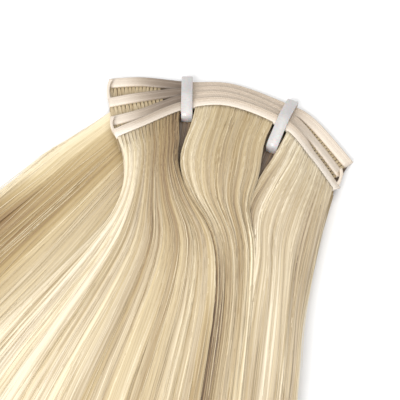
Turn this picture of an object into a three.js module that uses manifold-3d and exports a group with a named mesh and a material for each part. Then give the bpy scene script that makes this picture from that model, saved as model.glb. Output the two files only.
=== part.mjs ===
// A hair weft lying on a table: one long sewn band folded into four passes, the blonde hair that
// hangs from it parted into locks, and two nylon ties that hold the folded passes together.
// Millimetres, +Z up. +X runs along the band, the hair lies towards -Y, the table is at z = 0, and
// the origin is on the table under the middle of the topmost pass.
import * as THREE from "three";
import { mergeVertices } from "three/addons/utils/BufferGeometryUtils.js";
import Module from "manifold-3d";

// Driving dimensions
const BAND_HEIGHT = 4.5;
const BAND_THICKNESS = 1.2;
const RIM_THICKNESS = 1.6;
const TIE_WIDTH = 4.8;
const TIE_THICKNESS = 1.2;
const TIE_CORNER = 1.6;
const HEAD = { width: 7.2, length: 7, height: 4 };
const CLEARANCE = 0.35;

// Places along the band that every pass goes through
const LEFT_SHOULDER_X = -38;
const LEFT_TIE_X = -18.3;
const MIDDLE_X = 1;
const RIGHT_TIE_X = 23.5;
const RIGHT_SHOULDER_X = 35;

// Rows of bare values become rows of named ones
const table = (columns, rows) =>
  rows.map((row) => Object.fromEntries(columns.map((name, i) => [name, row[i]])));

// One row for each pass of the folded band, lowest first: the height of its middle line and where
// that line runs. The passes fan apart at the left and lie close together between the ties.
const PASSES = table(
  ["z", "left", "leftShoulder", "leftTie", "middle", "rightTie", "rightShoulder", "right"],
  [
    [2.2, [-52.3, 12.8], 13.6, 11.3, 10.3, 0.8, -6.6, [50, -27]],
    [4.4, [-52, 1.9], 4.7, 7.2, 7, -4, -15.2, [46.2, -32.4]],
    [6.5, [-50.4, -8.4], -4.7, 2.9, 3.2, -8.6, -24, [43.8, -39]],
    [8.6, [-48.8, -15.6], -10.4, -1.6, -0.7, -11.4, -26, [43.8, -40.4]],
  ],
);
const PASS_STEPS = 26;
const FOLD_STEPS = 10;
const FOLD_BULGE = 1.8;
const FOLD_OVERLAP = 1.5;

// One row for each cross-section of the hair. along is the length of hair from the band, and the
// edges are where the hair's borders run in plan: the fan's own left edge, the two edges of the
// left lock, the two of the right lock, and the middle lock lies between leftPart and rightPart.
// parting is the height where the upper locks lie on the fan below, crown the top of a lock, and
// fan the top of the hair that shows left of the locks.
const BORDERS = ["fanLeft", "leftEdge", "leftPart", "rightPart", "rightEdge"];
const HAIR_ROWS = table(
  ["along", ...BORDERS, "parting", "crown", "fan"],
  [
    [0, [-53.5, 1], [-49.5, -18], [-18.2, -5], [21.6, -13.5], [42.5, -42], 7.8, 9.4, 4],
    [12, [-64, -9], [-45.5, -28.5], [-19.8, -17], [16.7, -24], [39, -53], 6.6, 12.5, 6],
    [25, [-75, -17], [-45, -41.5], [-21.5, -30], [12, -36], [36, -65.5], 5.4, 14.5, 7],
    [40, [-85.5, -27], [-50.5, -55], [-17.5, -44.5], [7.5, -50], [32.5, -80.5], 4.6, 14, 7],
    [60, [-99.5, -41], [-63.5, -70], [-8, -63], [9, -70], [28, -100], 4, 13, 7],
    [85, [-116, -60], [-81, -88.5], [-6.6, -87], [7, -95], [25, -125], 3.6, 11.5, 6.5],
    [120, [-136, -88], [-105, -115], [-11.5, -122], [3, -130], [21.5, -160], 3.2, 9.5, 6],
    [165, [-155, -128], [-131, -151], [-19, -166], [-3, -174], [15, -204], 2.8, 7.5, 5],
    [210, [-168, -171], [-150, -191], [-28, -210], [-10, -219], [8, -249], 2.2, 5.2, 4],
    [250, [-176, -210], [-163, -229], [-36, -249], [-16, -258], [2, -288], 1.5, 3, 2.5],
  ],
);
// The fan starts at the lowest pass of the band, one row before the locks: how far along that pass
// each of its borders begins, as a share of the pass, and how thick the hair is there
const FAN_ROOT = { fanLeft: 0.01, leftEdge: 0.09, leftPart: 0.3, rightPart: 0.66, rightEdge: 0.97 };
const FAN_ROOT_TOP = 2.2;
// How much lower the fan lies under the locks close to the band
const FAN_SINKS = 0.5;
const STEPS_A_ROW = 2.2;
const WISPS_A_LOCK = 4;
const COLUMNS_A_WISP = 4;
const FAN_WISPS = 8;
const WISP_GROOVE = 0.32;
const EDGE_SHARE = { nearBand: 0.3, farDown: 0.7, from: 25, to: 100 };
const RAGGED_ENDS = 0.03;
const PART_WIDTH = 3;
const LOCK_GAP = 0.25;
// Over which lengths the gap below each tie closes
const LEFT_CLOSES = [3, 16];
const RIGHT_CLOSES = [8, 26];
const ROOT_BLEND = 40;

// Nylon ties: where each stands in plan, how far it leans round the vertical, and how far forward
// its loop reaches
const TIES = table(
  ["name", "x", "y", "lean", "front"],
  [
    ["tie_left", LEFT_TIE_X, 0, 0, -7.6],
    ["tie_right", 21.7, -10.8, -0.38, -12],
  ],
);
// The loop's inner corners, as seen along the band: how far back, and how high
const tieInside = (front) => [
  { back: front, up: 1.2 },
  { back: 14.4, up: 1.2 },
  { back: 14.4, up: 3.2 },
  { back: 2.6, up: 9.9 },
  { back: front, up: 9.9 },
];

const wasm = await Module();
wasm.setup();
const UP = new THREE.Vector3(0, 0, 1);

// A box of unit size, cut into a grid, with each point moved to place(u, v, w), where u runs across,
// v up and w along, each from 0 to 1.
function warpedBox(across, along, place) {
  const box = new THREE.BoxGeometry(1, 1, 1, across, 1, along);
  const points = box.attributes.position;
  for (let i = 0; i < points.count; i++) {
    const p = place(points.getX(i) + 0.5, points.getY(i) + 0.5, points.getZ(i) + 0.5);
    points.setXYZ(i, p.x, p.y, p.z);
  }
  return box;
}

function toSolid(geometry) {
  const bare = geometry.clone();
  bare.deleteAttribute("normal");
  bare.deleteAttribute("uv");
  const merged = mergeVertices(bare, 1e-3);
  return new wasm.Manifold(
    new wasm.Mesh({
      numProp: 3,
      vertProperties: new Float32Array(merged.attributes.position.array),
      triVerts: new Uint32Array(merged.index.array),
    }),
  );
}

function toGeometry(solid) {
  const mesh = solid.getMesh();
  const geometry = new THREE.BufferGeometry();
  geometry.setAttribute("position", new THREE.BufferAttribute(mesh.vertProperties, 3));
  geometry.setIndex(new THREE.BufferAttribute(mesh.triVerts, 1));
  return geometry;
}

// The middle line of one pass, from its left end to its right end
function passCurve(pass) {
  const places = [
    pass.left,
    [LEFT_SHOULDER_X, pass.leftShoulder],
    [LEFT_TIE_X, pass.leftTie],
    [MIDDLE_X, pass.middle],
    [RIGHT_TIE_X, pass.rightTie],
    [RIGHT_SHOULDER_X, pass.rightShoulder],
    pass.right,
  ];
  return new THREE.CatmullRomCurve3(places.map(([x, y]) => new THREE.Vector3(x, y, pass.z)));
}

// In plan, square to a direction and towards the band's free edge at the back
function towardsBack(direction) {
  const back = new THREE.Vector3(-direction.y, direction.x, 0).normalize();
  return back.y < 0 ? back.negate() : back;
}

// One pass of the band: a flat strip with a thicker rim along the edge that the hair hangs from
function passGeometry(pass, swell) {
  const curve = passCurve(pass);
  return warpedBox(2, PASS_STEPS, (u, v, w) => {
    const heading = curve.getTangentAt(w);
    const thickness = (u === 0 ? RIM_THICKNESS : BAND_THICKNESS) + 2 * swell;
    const beyond = w === 0 ? -swell : w === 1 ? swell : 0;
    const point = curve.getPointAt(w);
    point.addScaledVector(heading, beyond);
    point.addScaledVector(towardsBack(heading), (u - 0.5) * (BAND_HEIGHT + 2 * swell));
    point.z += (v - 0.5) * thickness;
    return point;
  });
}

// The loose fold at one end, where the band stands on edge and climbs from one pass to the next
function foldGeometry(lower, upper, end, swell) {
  const ends = [lower, upper].map((pass) => {
    const curve = passCurve(pass);
    const outwards = curve.getTangentAt(end).multiplyScalar(end === 0 ? -1 : 1);
    return { point: curve.getPointAt(end).setZ(0), outwards };
  });
  const [from, to] = ends;
  const path = new THREE.CubicBezierCurve3(
    from.point.clone().addScaledVector(from.outwards, -FOLD_OVERLAP),
    from.point.clone().addScaledVector(from.outwards, FOLD_BULGE),
    to.point.clone().addScaledVector(to.outwards, FOLD_BULGE),
    to.point.clone().addScaledVector(to.outwards, -FOLD_OVERLAP),
  );
  const half = BAND_THICKNESS / 2 + swell;
  return warpedBox(1, FOLD_STEPS, (u, v, w) => {
    const heading = path.getTangentAt(w);
    const beyond = w === 0 ? -swell : w === 1 ? swell : 0;
    const point = path.getPointAt(w).addScaledVector(heading, beyond);
    point.addScaledVector(UP.clone().cross(heading), (2 * u - 1) * half);
    point.z = THREE.MathUtils.lerp(lower.z - half, upper.z + half, v);
    return point;
  });
}

// The whole band: the passes, joined by a fold at the left, the right and the left again
function bandSolid(swell = 0) {
  const strips = PASSES.map((pass) => passGeometry(pass, swell));
  const folds = PASSES.slice(1).map((pass, i) => foldGeometry(PASSES[i], pass, i % 2, swell));
  return wasm.Manifold.union([...strips, ...folds].map(toSolid));
}

// Smooth lines through one column of the hair table: a border in plan, or a height
const spreadOf = (points) => new THREE.CatmullRomCurve3(points);
const borderLines = Object.fromEntries(
  BORDERS.map((name) => [name, spreadOf(HAIR_ROWS.map((r) => new THREE.Vector3(...r[name], r.along)))]),
);
const heightLine = spreadOf(HAIR_ROWS.map((r) => new THREE.Vector3(r.parting, r.crown, r.fan)));
const alongSteps = Math.round((HAIR_ROWS.length - 1) * STEPS_A_ROW);

// 1 on the crest of a wisp and 0 in the groove between two
const wispCrest = (u, wisps) => Math.sin(Math.PI * wisps * u) ** 2;
// How high a lock stands across its width, as a share of its crown: its edges are low near the band
function dome(u, along) {
  const closed = THREE.MathUtils.smoothstep(along, EDGE_SHARE.from, EDGE_SHARE.to);
  const edge = THREE.MathUtils.lerp(EDGE_SHARE.nearBand, EDGE_SHARE.farDown, closed);
  return edge + (1 - edge) * Math.sqrt(Math.max(0, 1 - (2 * u - 1) ** 2));
}
const raggedEnd = (w, u, wisps) => w * (1 - RAGGED_ENDS * (1 - wispCrest(u, wisps)));

// Where hair meets the lower edge of a pass, at a share of the way along it
const [lowestPass, topPass] = [PASSES[0], PASSES.at(-1)].map(passCurve);
function rootEdge(curve, share) {
  const back = towardsBack(curve.getTangentAt(share));
  return curve.getPointAt(share).addScaledVector(back, -BAND_HEIGHT / 2 - CLEARANCE);
}

// How far a lock's side keeps off its border, where a tie parts it from the next lock over the lengths
// in closes
function parted(closes, along) {
  return LOCK_GAP + (closes ? PART_WIDTH * (1 - THREE.MathUtils.smoothstep(along, ...closes)) : 0);
}

// One upper lock between two borders, rooted on the topmost pass from rootFrom to rootTo
function lockGeometry({ left, right, rootFrom, rootTo, leftCloses, rightCloses }) {
  const columns = WISPS_A_LOCK * COLUMNS_A_WISP;
  return warpedBox(columns, alongSteps, (u, v, w) => {
    const t = raggedEnd(w, u, WISPS_A_LOCK);
    const a = borderLines[left].getPoint(t);
    const b = borderLines[right].getPoint(t);
    const along = a.z;
    const heights = heightLine.getPoint(t);
    const width = a.distanceTo(b);
    const inLeft = parted(leftCloses, along) / width;
    const inRight = parted(rightCloses, along) / width;
    const share = inLeft + (1 - inLeft - inRight) * u;
    const point = a.clone().lerp(b, share);
    const fade = Math.max(0, 1 - along / ROOT_BLEND) ** 2;
    const straightRoot = borderLines[left].getPoint(0).lerp(borderLines[right].getPoint(0), share);
    const root = rootEdge(topPass, rootFrom + (rootTo - rootFrom) * u);
    point.addScaledVector(root.sub(straightRoot), fade);
    const depth = heights.y - heights.x;
    const grooved = 1 - WISP_GROOVE * (1 - wispCrest(u, WISPS_A_LOCK)) * (1 - fade);
    point.z = heights.x + v * depth * THREE.MathUtils.lerp(dome(u, along) * grooved, 1, fade);
    return point;
  });
}

// The fan of hair from the three lower passes, which lies on the table under the upper locks and
// shows at the left of them
function fanGeometry() {
  const columns = FAN_WISPS * COLUMNS_A_WISP;
  const rootSteps = 4;
  const steps = alongSteps + rootSteps;
  const spans = BORDERS.length - 1;
  return warpedBox(columns, steps, (u, v, w) => {
    const span = Math.min(Math.floor(u * spans), spans - 1);
    const share = u * spans - span;
    const [a, b] = [BORDERS[span], BORDERS[span + 1]];
    const step = w * steps - rootSteps;
    const t = raggedEnd(Math.max(0, step / alongSteps), u, FAN_WISPS);
    const point = borderLines[a].getPoint(t).lerp(borderLines[b].getPoint(t), share);
    const heights = heightLine.getPoint(t);
    const covered = THREE.MathUtils.smoothstep(u * spans, 0.7, 1);
    const shown = heights.z * dome(u / 2, 0) * (1 - WISP_GROOVE * (1 - wispCrest(u, FAN_WISPS)));
    const nearBand = 1 - THREE.MathUtils.smoothstep(borderLines[a].getPoint(t).z, 15, 45);
    const below = LOCK_GAP * 2 + FAN_SINKS * nearBand;
    let top = THREE.MathUtils.lerp(shown, heights.x - below, covered);
    if (step < 0) {
      const toRoot = -step / rootSteps;
      const root = rootEdge(lowestPass, THREE.MathUtils.lerp(FAN_ROOT[a], FAN_ROOT[b], share));
      point.lerp(root, toRoot);
      top = THREE.MathUtils.lerp(top, FAN_ROOT_TOP, toRoot);
    }
    point.z = v * top;
    return point;
  });
}

// A closed outline of straight sides and rounded corners, pushed outwards by grow
function roundedOutline(corners, grow, radius, PathClass) {
  const points = corners.map((c) => new THREE.Vector2(c.back, c.up));
  const sides = points.map((p, i) => points[(i + 1) % points.length].clone().sub(p).normalize());
  const grown = points.map((p, i) => {
    const before = sides[(i + sides.length - 1) % sides.length];
    const after = sides[i];
    const outwards = new THREE.Vector2(before.y + after.y, -before.x - after.x);
    return p.clone().addScaledVector(outwards, grow / (1 + before.dot(after)));
  });
  const path = new PathClass();
  grown.forEach((p, i) => {
    const before = grown[(i + grown.length - 1) % grown.length];
    const after = grown[(i + 1) % grown.length];
    const reach = Math.min(radius, 0.45 * p.distanceTo(before), 0.45 * p.distanceTo(after));
    const enter = p.clone().lerp(before, reach / p.distanceTo(before));
    const leave = p.clone().lerp(after, reach / p.distanceTo(after));
    if (i === 0) path.moveTo(enter.x, enter.y);
    else path.lineTo(enter.x, enter.y);
    path.quadraticCurveTo(p.x, p.y, leave.x, leave.y);
  });
  path.closePath();
  return path;
}

// A nylon tie: a flat strap round the folded band, and its plain lock head on the table in front,
// under the hair
function tieSolid({ front }, swell = 0) {
  const outerCorner = TIE_CORNER + TIE_THICKNESS / 2;
  const ring = roundedOutline(tieInside(front), TIE_THICKNESS + swell, outerCorner, THREE.Shape);
  ring.holes.push(roundedOutline(tieInside(front), -swell, TIE_CORNER, THREE.Path));
  const width = TIE_WIDTH + 2 * swell;
  const strap = new THREE.ExtrudeGeometry(ring, { depth: width, bevelEnabled: false, curveSegments: 5 });
  strap.translate(0, 0, -width / 2);
  // The outline's own axes become back and up, and its extrusion runs along the band
  strap.applyMatrix4(
    new THREE.Matrix4().makeBasis(new THREE.Vector3(0, 1, 0), UP, new THREE.Vector3(1, 0, 0)),
  );
  const headSize = [HEAD.width, HEAD.length, HEAD.height].map((size) => size + 2 * swell);
  const head = new THREE.BoxGeometry(...headSize);
  const strapFront = front - TIE_THICKNESS / 2;
  head.translate(0, strapFront - HEAD.length / 2, HEAD.height / 2);
  return toSolid(strap).add(toSolid(head));
}

function standTie(object, tie) {
  object.position.set(tie.x, tie.y, 0);
  object.rotation.z = tie.lean;
  object.updateMatrix();
  return object;
}

const nylon = new THREE.MeshStandardMaterial({ color: 0xe2deda, roughness: 0.35, metalness: 0 });
const sewnBand = new THREE.MeshStandardMaterial({ color: 0xe0cdb8, roughness: 0.4, metalness: 0 });
const blonde = new THREE.MeshStandardMaterial({ color: 0xdcc69a, roughness: 0.45, metalness: 0 });

const weft = new THREE.Group();
function addPiece(name, geometry, material) {
  const mesh = new THREE.Mesh(geometry, material);
  mesh.name = name;
  weft.add(mesh);
  return mesh;
}

addPiece("weft_band", toGeometry(bandSolid()), sewnBand);

for (const tie of TIES) {
  standTie(addPiece(tie.name, toGeometry(tieSolid(tie)), nylon), tie);
}

const LOCKS = table(
  ["name", "left", "right", "rootFrom", "rootTo", "leftCloses", "rightCloses"],
  [
    ["hair_left", "leftEdge", "leftPart", 0.005, 0.261, null, LEFT_CLOSES],
    ["hair_middle", "leftPart", "rightPart", 0.324, 0.64, LEFT_CLOSES, RIGHT_CLOSES],
    ["hair_right", "rightPart", "rightEdge", 0.71, 0.995, RIGHT_CLOSES, null],
  ],
);
for (const lock of LOCKS) {
  addPiece(lock.name, lockGeometry(lock), blonde);
}

// The lower fan gives way to the band that lies on it and to the ties that pass through it
let fan = toSolid(fanGeometry()).subtract(bandSolid(CLEARANCE));
for (const tie of TIES) {
  const place = standTie(new THREE.Object3D(), tie).matrix;
  fan = fan.subtract(toSolid(toGeometry(tieSolid(tie, CLEARANCE)).applyMatrix4(place)));
}
addPiece("hair_fan", toGeometry(fan), blonde);

export default weft;
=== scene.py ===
# %% [markdown]
# # A folded and tied hair weft
# A weft is a long narrow band with hair sewn along one edge. This one is folded back and forth into
# four passes, held by two nylon ties, and lies on a pale table with its hair combed out in locks.
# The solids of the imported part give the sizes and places, and everything here is made around them.

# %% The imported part
from functools import partial

import bmesh
import bpy
import numpy as np
from mathutils import Matrix, Vector


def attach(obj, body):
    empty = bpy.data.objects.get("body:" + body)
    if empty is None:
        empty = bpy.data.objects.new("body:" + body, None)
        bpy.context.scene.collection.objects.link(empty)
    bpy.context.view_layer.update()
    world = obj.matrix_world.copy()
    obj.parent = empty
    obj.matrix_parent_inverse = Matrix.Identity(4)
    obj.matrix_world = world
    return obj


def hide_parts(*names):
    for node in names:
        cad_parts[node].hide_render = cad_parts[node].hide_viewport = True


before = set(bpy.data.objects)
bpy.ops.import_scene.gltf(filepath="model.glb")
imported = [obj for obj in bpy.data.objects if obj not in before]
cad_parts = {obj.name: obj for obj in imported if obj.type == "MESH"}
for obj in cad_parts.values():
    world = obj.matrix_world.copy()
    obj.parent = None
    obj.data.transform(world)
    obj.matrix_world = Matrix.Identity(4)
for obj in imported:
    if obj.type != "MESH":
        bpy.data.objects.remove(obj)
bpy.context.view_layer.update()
MM = 0.001
print("solids:", sorted(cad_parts))

# %% [markdown]
# ## Camera
# The weft was seen from the side of its hair, rather steeply from above. A long lens at under half a
# metre keeps the band's arch and the fanned locks in their true proportions.

# %% Camera
CAMERA_TARGET = Vector((-12.73, -42.34, 0)) * MM
CAMERA_PLACE = Vector((-12.7, -232.5, 407.8)) * MM
camera = bpy.data.objects.new("camera", bpy.data.cameras.new("camera"))
camera.data.lens = 97.6
camera.data.sensor_width = 36
camera.data.clip_start = 0.01
camera.location = CAMERA_PLACE
camera.rotation_euler = (CAMERA_TARGET - CAMERA_PLACE).to_track_quat("-Z", "Y").to_euler()
bpy.context.scene.collection.objects.link(camera)
bpy.context.scene.camera = camera
print("camera is", round((CAMERA_TARGET - CAMERA_PLACE).length * 1000), "mm from its target")

# %% [markdown]
# ## Reading the weft's plan
# The passes and the borders of the locks are smooth lines through a few measured places, the same
# ones as in the solids but for a shorter right tip. One function reads such a line at any row number,
# for a single strand or for thousands at a time, because it works on whole arrays.


# %% Smooth lines through a table
def through(rows, at):
    """The smooth line through a table's rows, read at row numbers."""
    rows = np.asarray(rows, float)
    last = len(rows) - 1
    at = np.clip(np.asarray(at, float), 0, last)
    i = np.minimum(at.astype(int), last - 1)
    f = (at - i)[(...,) + (None,) * (rows.ndim - 1)]
    before, here = rows[np.maximum(i - 1, 0)], rows[i]
    after, beyond = rows[i + 1], rows[np.minimum(i + 2, last)]
    slope, bend = after - before, 2 * before - 5 * here + 4 * after - beyond
    return here + 0.5 * f * (slope + f * (bend + f * (3 * (here - after) + beyond - before)))


def ease(low, high, x):
    """0 below low, 1 above high, and a smooth rise between them."""
    f = np.clip((x - low) / (high - low), 0, 1)
    return f * f * (3 - 2 * f)


# %% The four passes of the band
# Height of the middle line, then its places in plan from the left end to the right end
PASSES = [
    (2.2, [(-52.3, 12.8), (-38, 13.6), (-18.3, 11.3), (1, 10.3), (23.5, 0.8), (35, -6.6), (50, -27)]),
    (4.4, [(-52, 1.9), (-38, 4.7), (-18.3, 7.2), (1, 7), (23.5, -4), (35, -15.2), (46.2, -32.4)]),
    (6.5, [(-50.4, -8.4), (-38, -4.7), (-18.3, 2.9), (1, 3.2), (23.5, -8.6), (35, -24), (43.8, -39)]),
    (8.6, [(-48.8, -15.6), (-38, -10.4), (-18.3, -1.6), (1, -0.7), (23.5, -11.4), (35, -26), (43.8, -40.4)]),
]
TOP_PASS = len(PASSES) - 1
FINE = 600


def pass_line(number):
    """Even steps along a pass: plan points, headings, directions to its free edge, and its length."""
    places = through(PASSES[number][1], np.linspace(0, 6, FINE))
    run = np.concatenate([[0], np.cumsum(np.linalg.norm(np.diff(places, axis=0), axis=1))])
    even = np.linspace(0, run[-1], FINE)
    points = np.stack([np.interp(even, run, places[:, k]) for k in (0, 1)], axis=1)
    heading = np.gradient(points, axis=0)
    heading /= np.linalg.norm(heading, axis=1, keepdims=True)
    back = np.stack([-heading[:, 1], heading[:, 0]], axis=1)
    return points, heading, back, run[-1]


pass_lines = [pass_line(number) for number in range(len(PASSES))]


def on_pass(number, share, towards_back=0.0):
    """Plan points at shares of the way along a pass, moved towards its free edge."""
    points, _, back, _ = pass_lines[number]
    steps = np.linspace(0, 1, FINE)
    x, y = (np.interp(share, steps, points[:, k]) + towards_back * np.interp(share, steps, back[:, k])
            for k in (0, 1))
    return np.stack([x, y], axis=-1)


print("band unfolded:", round(sum(line[3] for line in pass_lines)), "mm")

# %% [markdown]
# ## Where the hair runs
# Each lock lies between two borders. A place in the hair is given by its share of the way across the
# lock and by the length of hair from the band, and a function turns these into plan points and
# heights. Close to the band it bends the lock to meet the band's curved edge. The fan below the locks
# has a function of the same kind, which starts its hair under the folded ends of the lower passes.

# %% The hair's plan
# Length from the band, five borders in plan, and the heights of the parting, the crown and the fan
HAIR_ROWS = [
    (0, (-53.5, 1), (-49.5, -18), (-18.2, -5), (21.6, -13.5), (42.5, -42), 7.8, 9.4, 4),
    (12, (-64, -11), (-45.5, -28.5), (-19.8, -17), (16.7, -24), (39, -53), 6.6, 12.5, 6),
    (25, (-75, -19), (-45, -41.5), (-21.5, -30), (12, -36), (35.2, -65.5), 5.4, 14.5, 7),
    (40, (-85.5, -28.5), (-50.5, -55), (-17.5, -44.5), (7.5, -50), (31.3, -80.5), 4.6, 14, 7),
    (60, (-99.5, -42), (-63.5, -70), (-8, -63), (9, -70), (26.8, -100), 4, 13, 7),
    (85, (-116, -60), (-81, -88.5), (-6.6, -87), (7, -95), (23.6, -125), 3.6, 11.5, 6.5),
    (120, (-136, -88), (-105, -115), (-11.5, -122), (3, -130), (18.2, -160), 3.2, 9.5, 6),
    (165, (-155, -128), (-131, -151), (-19, -166), (-3, -174), (10.4, -204), 2.8, 7.5, 5),
    (210, (-168, -171), (-150, -191), (-28, -210), (-10, -219), (4, -245), 2.2, 5.2, 4),
    (250, (-176, -210), (-163, -229), (-36, -249), (-16, -257), (0, -273), 1.5, 3, 2.5),
]
FAN_LEFT, LEFT_EDGE, LEFT_PART, RIGHT_PART, RIGHT_EDGE = range(5)
lengths = np.array([row[0] for row in HAIR_ROWS], float)
borders = np.array([row[1:6] for row in HAIR_ROWS], float)
heights = np.array([row[6:9] for row in HAIR_ROWS], float)
HAIR_LENGTH = lengths[-1]
# How far the partings keep a lock off its border at the ties, the gap that stays, and the length over
# which the hair bends to the band's edge
PART_WIDTH, LOCK_GAP, ROOT_BLEND = 3.0, 0.1, 40
# The rim's lower edge, from the middle line of its pass
RIM_EDGE = -2.6
# Height of a lock's edge at the ties, as a share of its crown
EDGE_SHARE = 0.3


def row_number(along):
    return np.interp(along, lengths, np.arange(len(lengths)))


def dome(u, along, rises=((25, 100), (25, 100))):
    """Height across a lock as a share of its crown: round near the ties, flatter further down."""
    left, right = (EDGE_SHARE + 0.5 * ease(*rise, along) for rise in rises)
    edge = np.where(u < 0.5, left, right)
    return edge + (1 - edge) * np.sqrt(np.clip(1 - (2 * u - 1) ** 2, 0, 1))


# %% Places in an upper lock
# Of each lock: its two borders, and where on the top pass its hair starts and ends. Then, for its left
# and right side: the lengths over which the parting closes and over which the edge rises, and whether
# the side is open, with strands that hang down it. The right lock's hair also slants below the middle
# one, by so many mm.
LOCKS = {
    "hair_left": {
        "borders": (LEFT_EDGE, LEFT_PART), "root": (0.005, 0.261), "slant": 0,
        "closes": (None, (3, 16)), "rises": ((25, 100), (8, 40)), "sides": (1, 0),
    },
    "hair_middle": {
        "borders": (LEFT_PART, RIGHT_PART), "root": (0.324, 0.64), "slant": 0,
        "closes": ((3, 16), (8, 26)), "rises": ((8, 40), (24, 60)), "sides": (0, 0),
    },
    "hair_right": {
        "borders": (RIGHT_PART, RIGHT_EDGE), "root": (0.71, 0.995), "slant": 15,
        "closes": ((8, 26), None), "rises": ((24, 60), (25, 100)), "sides": (0, 1),
    },
}
# How steeply slanting hair dives below the next lock
DIVE = 12


def parted(closes, along):
    """How far a lock's border stays off the parting."""
    return LOCK_GAP + (PART_WIDTH * (1 - ease(*closes, along)) if closes else 0)


def lock_place(lock, u, along):
    """Plan points, underside, top and width of a lock at shares across it and lengths along it."""
    at = row_number(along)
    a, b = (through(borders[:, side], at) for side in lock["borders"])
    width = np.linalg.norm(b - a, axis=-1)
    in_left, in_right = (parted(closes, along) / width for closes in lock["closes"])
    slant = lock["slant"] / width * ease(15, 105, along) * (1 - ease(0, 0.6, u))
    placed = u - slant
    share = (in_left + (1 - in_left - in_right) * placed)[..., None]
    fade = np.clip(1 - along / ROOT_BLEND, 0, 1) ** 2
    root_from, root_to = lock["root"]
    root = on_pass(TOP_PASS, root_from + (root_to - root_from) * u, RIM_EDGE)
    first, last = (borders[0, side] for side in lock["borders"])
    plan = a + (b - a) * share + (root - first - (last - first) * share) * fade[..., None]
    parting, crown, _ = np.moveaxis(through(heights, at), -1, 0)
    hidden = DIVE * np.maximum(-placed, 0)
    top = parting + (crown - parting) * (dome(placed, along, lock["rises"]) * (1 - fade) + fade) - hidden
    return plan, parting, np.maximum(top, parting), width


print("upper locks:", ", ".join(LOCKS))

# %% Places in the lower fan
# Where the fan's shown hair starts, under the folded ends and the left lock: first and last strand
FAN_START = np.array([(-47.5, 1, 3.4), (-24, -16, 5.5)])
# The length over which that hair runs straight, rather than along the bent borders
FAN_STRAIGHT = 85.0


def fan_place(u, along):
    """The same for the fan: u from 0 to 1 shows left of the locks, and from 1 to 4 lies below them."""
    at = row_number(along)
    column = np.minimum(u.astype(int), 3)
    lines = np.stack([through(borders[:, k], at) for k in range(5)], axis=-2)
    a = np.take_along_axis(lines, column[..., None, None], axis=-2)[..., 0, :]
    b = np.take_along_axis(lines, column[..., None, None] + 1, axis=-2)[..., 0, :]
    plan = a + (b - a) * (u - column)[..., None]
    width = np.linalg.norm(lines[..., 1, :] - lines[..., 0, :], axis=-1)
    # Its height: a half dome where it shows, and just below the locks where they cover it
    parting, _, fan = np.moveaxis(through(heights, at), -1, 0)
    covered = ease(0.7, 1, u)
    below_ties = 0.8 * ease(1.2, 1.5, u) * (1 - ease(3.2, 3.5, u)) * (1 - ease(12, 30, along))
    top = fan * dome(u / 8, 0) * (1 - covered) + (parting - 0.5 - below_ties) * covered
    # Its plan: pulled to where it starts, and straightened where it shows
    start = FAN_START[0] + (FAN_START[1] - FAN_START[0]) * np.minimum(u, 1)[..., None]
    joined = np.clip(along / FAN_STRAIGHT, 0, 1)
    far = through(borders, row_number(FAN_STRAIGHT))
    far = far[FAN_LEFT] + (far[LEFT_EDGE] - far[FAN_LEFT]) * np.minimum(u, 1)[..., None]
    straight = start[..., :2] + (far - start[..., :2]) * joined[..., None]
    shows = 1 - ease(1, 1.4, u)
    root = (1 - ease(0, 22, along)) * shows
    bent = plan + (start[..., :2] - plan) * root[..., None]
    straighter = ease(0, 0.5, u) * shows * (1 - joined ** 3)
    plan = bent + (straight - bent) * straighter[..., None]
    top = top + (start[..., 2] - top) * root
    return plan, np.zeros_like(top), top, width


print("hair is", HAIR_LENGTH, "mm long")

# %% [markdown]
# ## Finishes
# A small class wraps a node's socket, so that sums and products of wires can be written as plain
# Python. Every other node comes from its one method, which sets the node up and then joins its
# sockets.


# %% Wires between shader nodes
class Wire:
    """A socket of a finish, on which arithmetic adds Math nodes."""

    def __init__(self, tree, socket=None):
        self.tree = tree
        self.socket = socket

    def node(self, kind, settings=None, inputs=None, output=0):
        """A new node: its settings are set first, then the values or wires of its sockets."""
        made = self.tree.nodes.new(kind)
        for name, value in (settings or {}).items():
            if name == "stops":
                set_stops(made.color_ramp, value)
            else:
                setattr(made, name, value)
        for name, value in (inputs or {}).items():
            if isinstance(value, Wire):
                self.tree.links.new(value.socket, made.inputs[name])
            else:
                made.inputs[name].default_value = value
        return Wire(self.tree, made.outputs[output])

    def maths(self, operation, a, b=0.0):
        return self.node("ShaderNodeMath", {"operation": operation}, {0: a, 1: b})

    def __add__(self, other):
        return self.maths("ADD", self, other)

    def __radd__(self, other):
        return self.maths("ADD", other, self)

    def __sub__(self, other):
        return self.maths("SUBTRACT", self, other)

    def __rsub__(self, other):
        return self.maths("SUBTRACT", other, self)

    def __mul__(self, other):
        return self.maths("MULTIPLY", self, other)

    def __rmul__(self, other):
        return self.maths("MULTIPLY", other, self)


def set_stops(ramp, stops):
    """Fill a colour ramp from (place, colour) pairs."""
    while len(ramp.elements) < len(stops):
        ramp.elements.new(1)
    for element, (place, colour) in zip(ramp.elements, stops):
        element.position = place
        element.color = (*colour, 1)


def new_finish(name):
    """A new node material: a bare wire to start from, its Principled shader and the material."""
    material = bpy.data.materials.new(name)
    material.use_nodes = True
    shader = material.node_tree.nodes["Principled BSDF"]
    return Wire(material.node_tree), shader, material


def feed(wire, shader, socket):
    wire.tree.links.new(wire.socket, shader.inputs[socket])


def mix(wire, factor, a, b):
    """One colour over another, by a factor."""
    inputs = {0: factor, 6: a, 7: b}
    return wire.node("ShaderNodeMix", {"data_type": "RGBA"}, inputs, output=2)


def attribute(wire, name):
    return wire.node("ShaderNodeAttribute", {"attribute_name": name}, output="Fac")


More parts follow.
